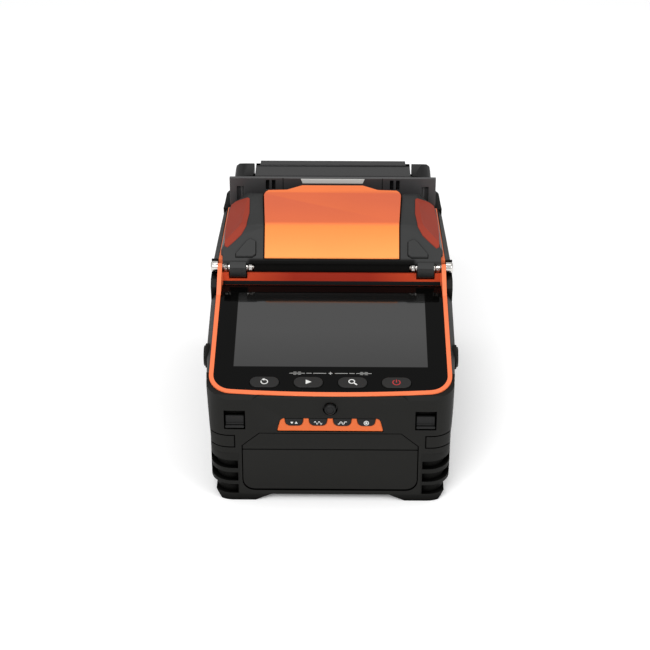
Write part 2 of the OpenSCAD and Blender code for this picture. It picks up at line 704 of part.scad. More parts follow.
module electrodes() color([0.6, 0.6, 0.65]) for (s = [-1, 1]) translate([0, fibre_y, fibre_z]) rotate([90 - s * 90 - 90, 0, 0]) {
    translate([0, 0, 1]) cylinder(r1 = 0.1, r2 = 0.9, h = 4);
    translate([0, 0, 5]) cylinder(r = 0.9, h = 15);
}

module electrode_clamps() color([0.35, 0.35, 0.36]) for (s = [-1, 1]) difference() {
    union() {
        block([-3.4, fibre_y + s * 15.5 - 2.6, deck_z], [3.4, fibre_y + s * 15.5 + 2.6, fibre_z + 2]);
        block([-8, fibre_y + s * 15.5 - 2.6, deck_z], [8, fibre_y + s * 15.5 + 2.6, deck_z + 3]);
    }
    rod_y(fibre_y + s * 15.5 - 4, fibre_y + s * 15.5 + 4, 0, fibre_z, 0.9);
}

module objectives() color([0.2, 0.2, 0.22]) for (s = [-1, 1]) translate([0, fibre_y, fibre_z]) rotate([180 - s * 45, 0, 0]) {
    difference() {
        translate([0, 0, 6.4]) cylinder(r = 3, h = 8.1);
        translate([0, 0, 6]) cylinder(r = 2.1, h = 1.4);
    }
}

module feed_stage() difference() {
    union() {
        block([13, 24, deck_z + 2.1], [40, 44, deck_z + 9]);
        block([14, 26, deck_z + 9], [39, 40, fibre_z - 0.4]);
        // ears for the lid pin
        for (x = [14.2, 36.6]) side_extrude(x, x + 2.2) {
            translate([43, fibre_z - 1.6]) circle(r = 2);
            polygon([[40, deck_z + 9], [44, deck_z + 9], [44.6, fibre_z - 2.6], [41.4, fibre_z - 2.6], [40, fibre_z - 5]]);
        }
    }
    // fibre channel
    block([10, fibre_y - 0.5, fibre_z - 0.9], [42, fibre_y + 0.5, fibre_z + 1]);
    // lid pin holes
    rod_x(12, 42, 43, fibre_z - 1.6, 0.95);
    // clearance for the feed screw
    rod_x(10, 41, 30, deck_z + 5.6, 1.5);
}

module left_feed_stage() color([0.42, 0.42, 0.44]) mirror([1, 0, 0]) feed_stage();
module right_feed_stage() color([0.42, 0.42, 0.44]) feed_stage();

module sheath_lid() {
    difference() {
        block([16.6, 27, fibre_z - 0.3], [36.4, 41.6, fibre_z + 2.6]);
        block([15, fibre_y - 0.5, fibre_z - 1], [38, fibre_y + 0.5, fibre_z + 0.4]);
    }
    difference() {
        side_extrude(16.6, 36.4) {
            translate([43, fibre_z - 1.6]) circle(r = 1.8);
            polygon([[41.4, fibre_z - 0.3], [41.4, fibre_z + 2.6], [43, fibre_z + 2], [44.6, fibre_z - 1], [43, fibre_z - 1.6]]);
        }
        rod_x(16, 37, 43, fibre_z - 1.6, 0.5);
    }
    rod_x(14.3, 38.7, 43, fibre_z - 1.6, 0.88);
    block([24, 23.6, fibre_z + 0.4], [29, 27, fibre_z + 2]);
}

module left_sheath_lid() color([0.7, 0.7, 0.72]) mirror([1, 0, 0]) sheath_lid();
module right_sheath_lid() color([0.7, 0.7, 0.72]) sheath_lid();

module feed_screw() {
    rod_x(10.5, 46.4, 30, deck_z + 5.6, 1.4);
    rod_x(41.4, 43, 30, deck_z + 5.6, 3);
}
module left_feed_screw() color([0.7, 0.68, 0.6]) mirror([1, 0, 0]) feed_screw();
module right_feed_screw() color([0.7, 0.68, 0.6]) feed_screw();

module feed_motors() color([0.5, 0.5, 0.5]) both_sides() difference() {
    union() {
        rod_x(45, 54.6, 30, deck_z + 5.6, 5.5);
        block([45, 24.6, deck_z], [46.4, 35.4, deck_z + 6]);
    }
    rod_x(44, 47, 30, deck_z + 5.6, 1.45);
}

// ---------------------------------------------------------------- rear bar and heater

module rear_bridge() color([0.15, 0.15, 0.15]) difference() {
    union() {
        block([-61.8, bridge_y0, 84], [61.8, bridge_y1, top_z]);
        block([-62.4, bridge_y0, 106.4], [62.4, bridge_y1, top_z]);
    }
    both_sides() for (x = [35.7, 39.4]) block([x - 1.1, bridge_y0 - 1, 117.6], [x + 1.1, bridge_y1 + 1, 124]);
    both_sides() rod_z(80, 119.8, 56, bridge_y0, 2.1);
    both_sides() block([29.8, bridge_y0 - 1, 84], [30.2, bridge_y0 + 0.6, 130]);
    lamp_solid(0.05);
}

module lamp_solid(grow = 0) front_extrude(bridge_y0 - 0.2, bridge_y0 + 1.4 + grow)
    polygon([[-19.4 - grow, top_z - 0.3 + grow], [19.4 + grow, top_z - 0.3 + grow],
        [18.2 + grow, top_z - 3.4 - grow], [-18.2 - grow, top_z - 3.4 - grow]]);
module lamp_lens() color([0.95, 0.95, 0.95]) lamp_solid();

lug_xs = [lid_half + 0.1, lid_half + lid_gap - 0.1];

module heater_base() color([0.14, 0.14, 0.14]) difference() {
    union() {
        block([-60, bridge_y1 + 0.1, 100.3], [60, rear_y, heater_floor]);
        both_sides() side_extrude(lug_xs[0], lug_xs[1]) {
            translate([heater_pin_y, heater_pin_z]) circle(r = 2.3);
            polygon([[87.2, heater_floor - 1], [91.8, heater_floor - 1], [91.8, heater_pin_z], [87.2, heater_pin_z]]);
        }
    }
    // trough for the sleeve
    block([-44, 76, heater_floor - 6], [44, 85, heater_floor + 5]);
    block([-70, 79.7, heater_floor - 1.2], [70, 81.3, heater_floor + 5]);
    rod_x(-70, 70, heater_pin_y, heater_pin_z, 1.5);
}

module heater_element() color([0.6, 0.55, 0.45]) difference() {
    block([-43.6, 76.4, heater_floor - 6], [43.6, 84.6, heater_floor - 1.4]);
    block([-50, 78.9, heater_floor - 3.6], [50, 82.1, heater_floor]);
}

module heater_pin() color([0.7, 0.7, 0.7]) rod_x(-59.6, 59.6, heater_pin_y, heater_pin_z, 1.5);

module lid_outline() {
    polygon([[bridge_y1 + 0.5, heater_floor + 0.4], [heater_pin_y, heater_floor + 0.4], [heater_pin_y + 2.3, heater_pin_z],
        [heater_pin_y + 2.3, 120.6], [heater_pin_y + 0.8, 123.4], [heater_pin_y - 2, 124.8], [bridge_y1 + 2, top_z - 0.3],
        [bridge_y1 + 0.5, top_z - 1.6]]);
    translate([heater_pin_y, heater_pin_z]) circle(r = 2.3);
}

module heater_lid() color([0.13, 0.13, 0.13]) {
    difference() {
        side_extrude(-lid_half, lid_half) lid_outline();
        rod_x(-70, 70, heater_pin_y, heater_pin_z, 1.5 + pivot_gap);
        block([-44, 75.6, 100], [44, 85.4, heater_floor + 3]);
        block([-70, 79.5, 100], [70, 81.5, heater_floor + 1.6]);
        block([-70, 83.4, top_z - 1.3], [70, 84.3, top_z + 2]);
    }
    side_extrude(-44.4, 44.4) polygon([[84.5, top_z - 1.6], [84.5, top_z + 0.2], [90.4, top_z + 0.2], [91.6, top_z - 1], [91.6, 120.4], [89, 120]]);
}

module heater_clamp() difference() {
    intersection() {
        side_extrude(lid_half + lid_gap, 60) lid_outline();
        front_extrude(60, 100) polygon([[40, 100], [60, 100], [60, 119.2],
            [59.4, 121.6], [57.6, 123.4], [54.5, 124.5], [48, 125], [40, 125.2]]);
    }
    rod_x(40, 70, heater_pin_y, heater_pin_z, 1.5 + pivot_gap);
    block([40, 79.7, 100], [70, 81.3, heater_floor + 1.2]);
}
module left_heater_clamp() color([0.16, 0.16, 0.16]) mirror([1, 0, 0]) heater_clamp();
module right_heater_clamp() color([0.16, 0.16, 0.16]) heater_clamp();

// ---------------------------------------------------------------- inside

module fan_frame() color([0.12, 0.12, 0.12]) difference() {
    union() {
        difference() {
            block([-20, fan_y - 9, 46], [20, fan_y + 1, 86]);
            rod_y(fan_y - 12, fan_y + 3, 0, 66, 18.6);
        }
        rod_y(fan_y - 0.8, fan_y + 1, 0, 66, 8);
        rod_y(fan_y - 7, fan_y, 0, 66, 1.2);
        for (a = [45 : 90 : 315]) translate([0, fan_y + 0.1, 66]) rotate([0, a, 0]) translate([-0.8, -0.9, 6]) cube([1.6, 1.8, 13]);
    }
    for (sx = [-1, 1], sz = [-1, 1]) rod_y(fan_y - 12, fan_y + 3, sx * 16.4, 66 + sz * 16.4, 1.6);
}

module fan_rotor() color([0.1, 0.1, 0.1]) difference() {
    union() {
        rod_y(fan_y - 8.4, fan_y - 1.2, 0, 66, 8);
        for (a = [0 : 360 / 7 : 359]) translate([0, fan_y - 4.9, 66]) rotate([0, a, 0]) translate([0, 0, 7])
            rotate([0, 0, 38]) translate([-0.5, -3.6, 0]) cube([1, 7.2, 10.6]);
    }
    rod_y(fan_y - 7.2, fan_y, 0, 66, 1.2 + pivot_gap);
}

module circuit_boards() color([0.1, 0.3, 0.15]) {
    block([-56, -62, 56], [56, 62, 57.6]);
    block([-48, 4, 57.6], [-14, 40, 60]);
    block([-6, 8, 57.6], [20, 30, 59.4]);
    block([30, 34, 57.6], [52, 60, 72]);
    for (i = [0 : 3]) block([-54 + i * 8, -50, 57.6], [-50 + i * 8, -30, 60.6]);
    on_deck() block([-50, 7, -7], [50, 19, -5.2]);
}

module side_sockets() color([0.55, 0.55, 0.55]) translate([-0.7, 0, 0]) {
    difference() {
        block([half_w - 8.9, -35, 50], [half_w - 3.4, -23, 60]);
        rod_x(half_w - 7.4, half_w, -29, 55, 3.1);
    }
    rod_x(half_w - 8.4, half_w - 3.6, -29, 55, 1);
    difference() {
        block([half_w - 8.9, -18.6, 50.4], [half_w - 3.4, -5.4, 58]);
        block([half_w - 8, -17.9, 51.1], [half_w, -6.1, 57.3]);
    }
    block([half_w - 8.2, -17, 53.8], [half_w - 4, -7, 55]);
}

module port_door() color([0.13, 0.13, 0.13]) {
    intersection() {
        difference() {
            block([half_w - 3.2, -37.6, 45.2], [half_w + 1, -2.4, 65.2]);
            block([half_w - 0.9, -20.6, 62.2], [half_w + 1, -17.4, 63.4]);
        }
        side_draft();
    }
    rod_y(-37.6, -2.4, door_x, 45.2, 1.2);
    rod_y(-39.4, -0.6, door_x, 45.2, 0.7);
}

lower_housing();
upper_housing();
trim_frame();
front_left_bumper();
front_right_bumper();
rear_left_bumper();
rear_right_bumper();
strap_lugs();
housing_screws();
tripod_bush();
rear_bridge();
lamp_lens();
control_strip();
unit_button();
wavelength_button();
source_button();
laser_button();
port_adapter();
port_cap();
battery_case();
battery_rear_cap();
battery_cells();
left_latch();
right_latch();
cover_glass();
lcd_panel();
reset_button();
play_button();
zoom_button();
power_button();
cover_shell();
cover_plate();
cover_inserts();
cover_seal();
fibre_pressers();
hinge_bolts();
hinge_springs();
splice_deck();
vgroove_blocks();
electrodes();
electrode_clamps();
left_feed_stage();
right_feed_stage();
left_sheath_lid();
right_sheath_lid();
left_feed_screw();
right_feed_screw();
feed_motors();
objectives();
heater_base();
heater_element();
heater_pin();
heater_lid();
left_heater_clamp();
right_heater_clamp();
fan_frame();
fan_rotor();
circuit_boards();
side_sockets();
port_door();
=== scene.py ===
"""Looks of the fibre fusion splicer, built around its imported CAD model.

Metres. +X is the operator's right, +Y points away from the operator, +Z up.
"""
import json
import math

import bmesh
import bpy
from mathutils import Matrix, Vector


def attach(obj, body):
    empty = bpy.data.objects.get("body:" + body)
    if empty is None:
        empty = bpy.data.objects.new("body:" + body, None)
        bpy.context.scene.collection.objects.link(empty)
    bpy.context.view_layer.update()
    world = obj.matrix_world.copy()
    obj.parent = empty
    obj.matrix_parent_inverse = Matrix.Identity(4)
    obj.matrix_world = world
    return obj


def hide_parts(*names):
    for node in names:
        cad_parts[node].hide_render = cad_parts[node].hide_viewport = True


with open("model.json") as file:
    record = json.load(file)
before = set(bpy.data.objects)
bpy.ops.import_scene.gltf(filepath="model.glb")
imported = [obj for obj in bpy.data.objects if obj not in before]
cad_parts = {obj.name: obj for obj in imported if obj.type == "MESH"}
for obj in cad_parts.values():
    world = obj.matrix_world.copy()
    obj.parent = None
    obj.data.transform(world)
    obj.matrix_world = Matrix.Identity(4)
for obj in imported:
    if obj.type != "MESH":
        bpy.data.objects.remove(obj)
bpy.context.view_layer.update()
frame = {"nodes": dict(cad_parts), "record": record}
NODES = frame["nodes"]
MM = 0.001

# Front top edge and slope of the screen deck, and the axis of the wind cover's hinge, in mm and radians.
FRONT_Y, FRONT_H, TILT = -92.25, 69.2, math.radians(10)
HINGE_Y, HINGE_Z = 8.3, 95.3

# ---------------------------------------------------------------- materials


def new_material(name):
    m = bpy.data.materials.new(name)
    m.use_nodes = True
    return m, m.node_tree.nodes, m.node_tree.links, m.node_tree.nodes["Principled BSDF"]


def plastic(name, color, rough=0.5, grain=0.12, scale=5200.0, wear=0.0, spec=0.5, mottle=0.12, crevice_shade=0.0):
    """Moulded or painted surface: fine texture grain, cloudy tone, edge wear and painted shade in crevices.
    """
    m, n, l, b = new_material(name)
    tc = n.new("ShaderNodeTexCoord")
    fine = n.new("ShaderNodeTexNoise")
    fine.inputs["Scale"].default_value = scale
    fine.inputs["Detail"].default_value = 3.0
    l.new(tc.outputs["Object"], fine.inputs["Vector"])
    cloud = n.new("ShaderNodeTexNoise")
    cloud.inputs["Scale"].default_value = 38.0
    cloud.inputs["Detail"].default_value = 5.0
    l.new(tc.outputs["Object"], cloud.inputs["Vector"])
    bump = n.new("ShaderNodeBump")
    bump.inputs["Strength"].default_value = grain
    bump.inputs["Distance"].default_value = 0.00012
    l.new(fine.outputs["Fac"], bump.inputs["Height"])
    l.new(bump.outputs["Normal"], b.inputs["Normal"])
    ramp = n.new("ShaderNodeMapRange")
    ramp.inputs["To Min"].default_value = 1.0 - mottle
    ramp.inputs["To Max"].default_value = 1.0 + mottle
    l.new(cloud.outputs["Fac"], ramp.inputs["Value"])
    tint = n.new("ShaderNodeVectorMath")
    tint.operation = "SCALE"
    tint.inputs[0].default_value = color
    l.new(ramp.outputs["Result"], tint.inputs["Scale"])
    last = tint.outputs["Vector"]
    if wear:
        geo = n.new("ShaderNodeNewGeometry")
        edge = n.new("ShaderNodeMapRange")
        edge.inputs["From Min"].default_value = 0.52
        edge.inputs["From Max"].default_value = 0.62
        edge.inputs["To Max"].default_value = wear
        l.new(geo.outputs["Pointiness"], edge.inputs["Value"])
        mix = n.new("ShaderNodeMix")
        mix.data_type = "RGBA"
        l.new(edge.outputs["Result"], mix.inputs["Factor"])
        l.new(last, mix.inputs["A"])
        mix.inputs["B"].default_value = [min(1.0, c * 1.8 + 0.05) for c in color] + [1.0]
        last = mix.outputs["Result"]
    b.inputs["Specular IOR Level"].default_value = spec
    # Painted shade: ambient occlusion darkens the colour and dims the specular in crevices and grooves.
    if crevice_shade:
        ao = n.new("ShaderNodeAmbientOcclusion")
        ao.samples = 8
        ao.inputs["Distance"].default_value = crevice_shade * MM
        deep = ramp_node(n, l, ao.outputs["AO"], 0.35, 0.95)
        last = mix_colors(n, l, deep, tuple(c * 0.12 for c in color), last)
        l.new(math_node(n, l, "MULTIPLY", deep, spec), b.inputs["Specular IOR Level"])
    l.new(last, b.inputs["Base Color"])
    rr = n.new("ShaderNodeMapRange")
    rr.inputs["To Min"].default_value = max(0.02, rough - 0.09)
    rr.inputs["To Max"].default_value = min(1.0, rough + 0.09)
    l.new(cloud.outputs["Fac"], rr.inputs["Value"])
    l.new(rr.outputs["Result"], b.inputs["Roughness"])
    return m


def metal(name, color, rough=0.3, brushed=(1.0, 60.0, 60.0), grain=0.08):
    """Machined or brushed metal with streaks along one axis."""
    m, n, l, b = new_material(name)
    tc = n.new("ShaderNodeTexCoord")
    mp = n.new("ShaderNodeMapping")
    mp.inputs["Scale"].default_value = brushed
    l.new(tc.outputs["Object"], mp.inputs["Vector"])
    streak = n.new("ShaderNodeTexNoise")
    streak.inputs["Scale"].default_value = 120.0
    streak.inputs["Detail"].default_value = 4.0
    l.new(mp.outputs["Vector"], streak.inputs["Vector"])
    rr = n.new("ShaderNodeMapRange")
    rr.inputs["To Min"].default_value = max(0.05, rough - 0.12)
    rr.inputs["To Max"].default_value = rough + 0.14
    l.new(streak.outputs["Fac"], rr.inputs["Value"])
    l.new(rr.outputs["Result"], b.inputs["Roughness"])
    bump = n.new("ShaderNodeBump")
    bump.inputs["Strength"].default_value = grain
    bump.inputs["Distance"].default_value = 0.0001
    l.new(streak.outputs["Fac"], bump.inputs["Height"])
    l.new(bump.outputs["Normal"], b.inputs["Normal"])
    b.inputs["Base Color"].default_value = (*color, 1.0)
    b.inputs["Metallic"].default_value = 1.0
    return m


def math_node(n, l, op, a, b=0.0):
    node = n.new("ShaderNodeMath")
    node.operation = op
    for i, v in enumerate((a, b)):
        if isinstance(v, (int, float)):
            node.inputs[i].default_value = v
        else:
            l.new(v, node.inputs[i])
    return node.outputs[0]


def ramp_node(n, l, value, lo, hi, to_lo=0.0, to_hi=1.0):
    node = n.new("ShaderNodeMapRange")
    node.inputs["From Min"].default_value = lo
    node.inputs["From Max"].default_value = hi
    node.inputs["To Min"].default_value = to_lo
    node.inputs["To Max"].default_value = to_hi
    l.new(value, node.inputs["Value"])
    return node.outputs["Result"]


def mix_colors(n, l, fac, a, b):
    node = n.new("ShaderNodeMix")
    node.data_type = "RGBA"
    if isinstance(fac, (int, float)):
        node.inputs["Factor"].default_value = fac
    else:
        l.new(fac, node.inputs["Factor"])
    for key, v in (("A", a), ("B", b)):
        if isinstance(v, tuple):
            node.inputs[key].default_value = (*v, 1.0)
        else:
            l.new(v, node.inputs[key])
    return node.outputs["Result"]


def screen_glass():
    """Black printed glass with the display showing as a lighter, more reflective window."""
    m, n, l, b = new_material("screen_glass")
    tc = n.new("ShaderNodeTexCoord")
    xyz = n.new("ShaderNodeSeparateXYZ")
    l.new(tc.outputs["Object"], xyz.inputs[0])
    back = math_node(n, l, "SUBTRACT", xyz.outputs[1], FRONT_Y * MM)
    up = math_node(n, l, "MULTIPLY", back, math.cos(TILT))
    above = math_node(n, l, "SUBTRACT", xyz.outputs[2], FRONT_H * MM)
    rise = math_node(n, l, "MULTIPLY", above, math.sin(TILT))
    v = math_node(n, l, "ADD", up, rise)
    side = math_node(n, l, "ABSOLUTE", xyz.outputs[0])
    inside = ramp_node(n, l, side, 54.15 * MM, 53.95 * MM)
    inside = math_node(n, l, "MULTIPLY", inside, ramp_node(n, l, v, 25.0 * MM, 25.2 * MM))
    inside = math_node(n, l, "MULTIPLY", inside, ramp_node(n, l, v, 90.2 * MM, 90.0 * MM))
    smear = n.new("ShaderNodeTexNoise")
    smear.inputs["Scale"].default_value = 26.0
    smear.inputs["Detail"].default_value = 6.0
    l.new(tc.outputs["Object"], smear.inputs["Vector"])
    tone = mix_colors(n, l, inside, (0.0016, 0.0016, 0.0015), (0.0070, 0.0070, 0.0068))
    l.new(tone, b.inputs["Base Color"])
    fade = math_node(n, l, "MULTIPLY", inside, ramp_node(n, l, v, 26.0 * MM, 56.0 * MM, 0.76, 1.0))
    l.new(ramp_node(n, l, fade, 0.0, 1.0, 0.06, 0.97), b.inputs["Specular IOR Level"])
    rough = ramp_node(n, l, smear.outputs["Fac"], 0.35, 0.75, 0.03, 0.075)
    l.new(math_node(n, l, "ADD", rough, math_node(n, l, "MULTIPLY", inside, 0.03)), b.inputs["Roughness"])
    b.inputs["IOR"].default_value = 1.6
    return m


def lacquer(name, top, slope, rough):
    """Satin metallic lacquer with painted sheen: faces turned to the front take the lighter, yellower slope
    colour, standing for the key light's reflection, and the slope colour darkens towards its top.
    """
    m, n, l, b = new_material(name)
    geo = n.new("ShaderNodeNewGeometry")
    nrm = n.new("ShaderNodeSeparateXYZ")
    l.new(geo.outputs["Normal"], nrm.inputs[0])
    painted_sheen = ramp_node(n, l, math_node(n, l, "MULTIPLY", nrm.outputs[1], -1.0), 0.12, 0.66)
    tc = n.new("ShaderNodeTexCoord")
    pos = n.new("ShaderNodeSeparateXYZ")
    l.new(tc.outputs["Object"], pos.inputs[0])
    down = ramp_node(n, l, pos.outputs[2], 0.1165, 0.1045)
    cloud = n.new("ShaderNodeTexNoise")
    cloud.inputs["Scale"].default_value = 24.0
    l.new(tc.outputs["Object"], cloud.inputs["Vector"])
    flake = n.new("ShaderNodeTexNoise")
    flake.inputs["Scale"].default_value = 7800.0
    flake.inputs["Detail"].default_value = 1.0
    l.new(tc.outputs["Object"], flake.inputs["Vector"])
    # Painted sheen and shade: the slope colour darkens towards the fold, front-facing faces get it, and the
    # rest get the darker top colour.
    low = mix_colors(n, l, down, tuple(c * k for c, k in zip(slope, (0.90, 0.74, 0.62))), slope)
    body = mix_colors(n, l, painted_sheen, top, low)
    tint = n.new("ShaderNodeVectorMath")
    tint.operation = "SCALE"
    l.new(body, tint.inputs[0])
    tone = math_node(n, l, "ADD", ramp_node(n, l, cloud.outputs["Fac"], 0.3, 0.7, 0.965, 1.02),
                     ramp_node(n, l, flake.outputs["Fac"], 0.35, 0.65, -0.035, 0.035))
    l.new(tone, tint.inputs["Scale"])
    l.new(tint.outputs["Vector"], b.inputs["Base Color"])
    bump = n.new("ShaderNodeBump")
    bump.inputs["Strength"].default_value = 0.05
    bump.inputs["Distance"].default_value = 0.0001
    l.new(flake.outputs["Fac"], bump.inputs["Height"])
    l.new(bump.outputs["Normal"], b.inputs["Normal"])
    b.inputs["Roughness"].default_value = rough
    b.inputs["Specular IOR Level"].default_value = 0.30
    b.inputs["Metallic"].default_value = 0.12
    return m


def shade_lip(m):
    """Painted shade: near-black colour and dimmed specular on the low front wall of the cover, which sits in
    shadow, and in the seam round its plate.
    """
    n, l = m.node_tree.nodes, m.node_tree.links
    b = n["Principled BSDF"]
    tc = n.new("ShaderNodeTexCoord")
    pos = n.new("ShaderNodeSeparateXYZ")
    l.new(tc.outputs["Object"], pos.inputs[0])
    side = math_node(n, l, "ABSOLUTE", pos.outputs[0])
    shade_mask = math_node(n, l, "MULTIPLY", ramp_node(n, l, side, 49.6 * MM, 47.5 * MM),
                     ramp_node(n, l, pos.outputs[2], 102.6 * MM, 101.6 * MM))
    edge = ramp_node(n, l, pos.outputs[1], 18.0 * MM, 51.6 * MM, 39.65 * MM, 41.45 * MM)
    seam = ramp_node(n, l, math_node(n, l, "SUBTRACT", side, edge), 0.55 * MM, 0.25 * MM)
    shade_mask = math_node(n, l, "MAXIMUM", shade_mask, seam)
    base = b.inputs["Base Color"].links[0].from_socket
    l.new(mix_colors(n, l, shade_mask, base, (0.0026, 0.0026, 0.0024)), b.inputs["Base Color"])
    spec = b.inputs["Specular IOR Level"].links[0].from_socket
    keep = ramp_node(n, l, shade_mask, 0.0, 1.0, 1.0, 0.35)
    l.new(math_node(n, l, "MULTIPLY", spec, keep), b.inputs["Specular IOR Level"])
    return m


def shade_band(m):
    """Painted shade: darkens and reddens the trim colour on the cross band behind the screen, which sits in
    shadow under the cover; darkest towards the middle.
    """
    n, l = m.node_tree.nodes, m.node_tree.links
    b = n["Principled BSDF"]
    tc = n.new("ShaderNodeTexCoord")
    pos = n.new("ShaderNodeSeparateXYZ")
    l.new(tc.outputs["Object"], pos.inputs[0])
    side = math_node(n, l, "ABSOLUTE", pos.outputs[0])
    shade_mask = math_node(n, l, "MULTIPLY", ramp_node(n, l, pos.outputs[1], 4.3 * MM, 4.7 * MM),
                     ramp_node(n, l, pos.outputs[1], 6.4 * MM, 6.0 * MM))
    shade_mask = math_node(n, l, "MULTIPLY", shade_mask, ramp_node(n, l, side, 64.0 * MM, 63.4 * MM))
    outward = ramp_node(n, l, side, 22.0 * MM, 60.0 * MM)
    deep = mix_colors(n, l, outward, (0.33, 0.022, 0.008), (0.62, 0.070, 0.020))
    base = b.inputs["Base Color"].links[0].from_socket
    l.new(mix_colors(n, l, shade_mask, base, deep), b.inputs["Base Color"])
    return m


MAT = {
    "housing": plastic("housing_plastic", (0.0080, 0.0079, 0.0070),
            0.56, 0.20, 4200.0, 0.022, 0.13, 0.12, 7.0),
    "rubber": plastic("guard_rubber", (0.0074, 0.0073, 0.0066), 0.62, 0.28, 3200.0, 0.016, 0.12, 0.12, 8.0),
    "orange": shade_band(plastic("orange_plastic", (0.86, 0.178, 0.062),
            0.40, 0.05, 5200.0, 0.0, 0.30, 0.03)),
    "strip": plastic("orange_strip", (0.60, 0.118, 0.028), 0.44, 0.05, 5200.0, 0.0, 0.22, 0.03),
    "plate": lacquer("orange_plate", (0.65, 0.122, 0.046), (0.96, 0.305, 0.072), 0.44),
    "cover": shade_lip(plastic("cover_grey", (0.0205, 0.0212, 0.0210),
            0.50, 0.20, 4600.0, 0.03, 0.26, 0.12, 3.0)),
    # Painted shade: the inserts are the plate's orange, given a darker brick-red colour that stands for their
    # facing away from the light.
    "insert": plastic("insert_red", (0.265, 0.039, 0.023), 0.62, 0.12, 5200.0, 0.0, 0.08),
    "black": plastic("black_plastic", (0.0050, 0.0050, 0.0050), 0.44, 0.12, 5200.0, 0.016, 0.22),
    "gloss": plastic("gloss_black", (0.0105, 0.0105, 0.0107), 0.24, 0.04, 5200.0, 0.016, 0.34),
    "clamp": plastic("clamp_black", (0.0030, 0.0030, 0.0030), 0.34, 0.03, 5200.0, 0.0, 0.07),
    # Partly painted light: the bar's colour is lighter than the housing plastic, raised to make up for the
    # shade it sits in.
    "bar": plastic("bar_plastic", (0.0350, 0.0342, 0.0350), 0.34, 0.06, 5200.0, 0.02, 0.60, 0.12, 3.0),
    "glass": screen_glass(),
    "lcd": plastic("lcd_grey", (0.05, 0.05, 0.05), 0.30, 0.02, 5200.0),
    "key": plastic("key_grey", (0.0115, 0.0115, 0.0112), 0.46, 0.08, 5200.0, 0.06, 0.24),
    "steel": metal("hinge_steel", (0.66, 0.64, 0.61), 0.24),
    "pin": metal("pin_steel", (0.42, 0.42, 0.42), 0.34),
    "brass": metal("brass", (0.60, 0.42, 0.17), 0.30),
    "adapter": metal("adapter_metal", (0.035, 0.034, 0.033), 0.42),
    "lamp": plastic("lamp_white", (0.50, 0.51, 0.49), 0.42, 0.05, 5200.0, 0.0, 0.3, 0.03),
    "foam": plastic("seal_foam", (0.010, 0.010, 0.010), 0.90, 0.5, 2600.0, 0.0, 0.05),
    "ceramic": plastic("ceramic", (0.72, 0.70, 0.64), 0.34, 0.05, 6000.0, 0.0, 0.5, 0.04),
    "dark_metal": metal("dark_metal", (0.05, 0.05, 0.055), 0.38),
    "grey_metal": metal("grey_metal", (0.32, 0.32, 0.34), 0.34),
    "tungsten": metal("tungsten", (0.42, 0.42, 0.45), 0.28),
    "foil": metal("cell_foil", (0.56, 0.57, 0.60), 0.34, (30.0, 30.0, 30.0), 0.3),
    "board": plastic("board_green", (0.012, 0.10, 0.035), 0.30, 0.3, 900.0),
    "white_print": plastic("white_print", (0.66, 0.66, 0.64), 0.5, 0.02, 5200.0, 0.0, 0.2, 0.03),
    "grey_print": plastic("grey_print", (0.32, 0.32, 0.31), 0.5, 0.02, 5200.0, 0.0, 0.2, 0.03),
    "red_print": plastic("red_print", (0.44, 0.030, 0.034), 0.5, 0.02, 5200.0, 0.0, 0.2, 0.03),
}

SLOT_LOOK = {
    "housing_plastic": "housing", "rubber_guard": "rubber",
    "orange_plastic": "orange", "orange_plate": "plate",
    "cover_grey": "cover", "insert_red": "insert", "black_plastic": "black", "gloss_black": "gloss",
    "key_grey": "key", "steel": "steel", "brass": "brass", "lamp_white": "lamp", "foam": "foam",
    "ceramic": "ceramic", "dark_metal": "dark_metal", "grey_metal": "grey_metal", "tungsten": "tungsten",
    "cell_foil": "foil", "board_green": "board", "screen_glass": "glass", "lcd_grey": "lcd",
}
SLOT_OF = {s["node"]: s["material_slot"] for s in frame["record"]["subparts"]}


WELD_WITHIN = 2e-6  # m
FLAT_WITHIN = 0.6  # degrees
ROUND_ABOVE = 28.0  # degrees


def refine(node, width, segments, look=None):
    """Softens a CAD node where it stands and gives it a material.

    Its stored corner normals are dropped and its faces shaded smooth, then modifiers weld it,
    merge its flat faces and round its edges. Its own vertices stay as packed.
    """
    o = NODES[node]
    me = o.data
    if "custom_normal" in me.attributes:
        me.attributes.remove(me.attributes["custom_normal"])
    me.polygons.foreach_set("use_smooth", [True] * len(me.polygons))
    w = o.modifiers.new("weld", "WELD")
    w.merge_threshold = WELD_WITHIN
    d = o.modifiers.new("planar", "DECIMATE")
    d.decimate_type = "DISSOLVE"
    d.angle_limit = math.radians(FLAT_WITHIN)
    b = o.modifiers.new("edges", "BEVEL")
    b.width = width * MM
    b.segments = segments
    b.limit_method = "ANGLE"
    b.angle_limit = math.radians(ROUND_ABOVE)
    b.harden_normals = True
    b.miter_outer = "MITER_ARC"
    me.materials.clear()
    me.materials.append(MAT[look or SLOT_LOOK[SLOT_OF[node]]])


